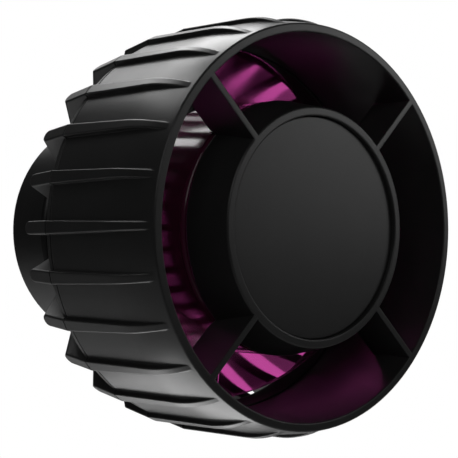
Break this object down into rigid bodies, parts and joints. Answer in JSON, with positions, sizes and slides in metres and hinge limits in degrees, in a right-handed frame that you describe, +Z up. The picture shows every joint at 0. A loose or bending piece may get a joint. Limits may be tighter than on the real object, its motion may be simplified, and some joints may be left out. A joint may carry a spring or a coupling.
{
  "type": "aquarium wave maker pump",
  "caption": "Round underwater stream pump with ribbed flow guard, translucent propeller, canned motor, ball joint and magnetic glass holder.",
  "frame": {"origin": "centre of the rubber pad's flat face, which rests on the inside of the aquarium glass", "axes": "+Y along the pump's axis into the glass, so the pump blows towards -Y; +Z up; +X towards the cord gland"},
  "size_m": [0.0948, 0.083, 0.0948],
  "materials": {
    "black_plastic": "satin black moulded plastic",
    "motor_plastic": "satin black moulded plastic",
    "holder_plastic": "satin black moulded plastic",
    "joint_plastic": "black moulded plastic",
    "magenta_plastic": "glossy translucent magenta",
    "clip_plastic": "white moulded plastic",
    "bobbin_plastic": "cream moulded plastic",
    "board_laminate": "green circuit board",
    "potting_resin": "cast black resin",
    "bush_rubber": "soft black rubber",
    "seal_rubber": "soft red-brown rubber",
    "gland_rubber": "soft black rubber",
    "liner_rubber": "soft black rubber",
    "pad_rubber": "soft black rubber",
    "shaft_ceramic": "ground white ceramic",
    "bearing_carbon": "ground dark grey ceramic",
    "magnet_ferrite": "dark grey sintered ferrite",
    "lamination_steel": "stacked steel sheet",
    "plate_steel": "zinc-plated sheet",
    "screw_steel": "plain stainless steel",
    "coil_copper": "enamelled copper wire"
  },
  "bodies": {
    "holder": {"magnet_cup": "holder_plastic", "ball_socket": "joint_plastic", "socket_nut": "joint_plastic", "socket_screws": "screw_steel", "holder_magnet": "magnet_ferrite", "holder_back_plate": "plate_steel", "holder_pad": "pad_rubber"},
    "liner": {"ball_liner": "liner_rubber"},
    "head": {"intake_basket": "black_plastic", "motor_shell": "motor_plastic", "rotor_well": "motor_plastic", "rear_shaft_bush": "bush_rubber", "ceramic_shaft": "shaft_ceramic", "front_thrust_washer": "shaft_ceramic", "rear_thrust_washer": "shaft_ceramic", "stator_core": "lamination_steel", "coil_bobbins": "bobbin_plastic", "stator_coils": "coil_copper", "resin_fill": "potting_resin", "sensor_board": "board_laminate", "cover_seal": "seal_rubber", "motor_cover": "motor_plastic", "cover_screws": "screw_steel", "cable_gland": "gland_rubber", "ball_stud": "joint_plastic", "stud_nut": "screw_steel"},
    "rotor": {"propeller": "magenta_plastic", "propeller_lock_ring": "clip_plastic", "rotor_sleeve": "clip_plastic", "rotor_magnet": "magnet_ferrite", "rotor_jacket": "clip_plastic", "front_rotor_bearing": "bearing_carbon", "rear_rotor_bearing": "bearing_carbon"},
    "guard": {"front_guard": "black_plastic", "hub_cap": "black_plastic", "front_shaft_bush": "bush_rubber"}
  },
  "joints": [
    {"name": "head_tilt", "type": "hinge", "parent": "holder", "child": "liner", "pos_m": [0, -0.0148, 0], "axis": [1, 0, 0], "range_deg": [-8, 8]},
    {"name": "head_pan", "type": "hinge", "parent": "liner", "child": "head", "pos_m": [0, -0.0148, 0], "axis": [0, 0, 1], "range_deg": [-8, 8]},
    {"name": "rotor_spin", "type": "hinge", "parent": "head", "child": "rotor", "pos_m": [0, -0.04, 0], "axis": [0, 1, 0], "continuous": true},
    {"name": "guard_twist", "type": "hinge", "parent": "head", "child": "guard", "pos_m": [0, -0.06, 0], "axis": [0, 1, 0], "range_deg": [0, 12.86]}
  ]
}
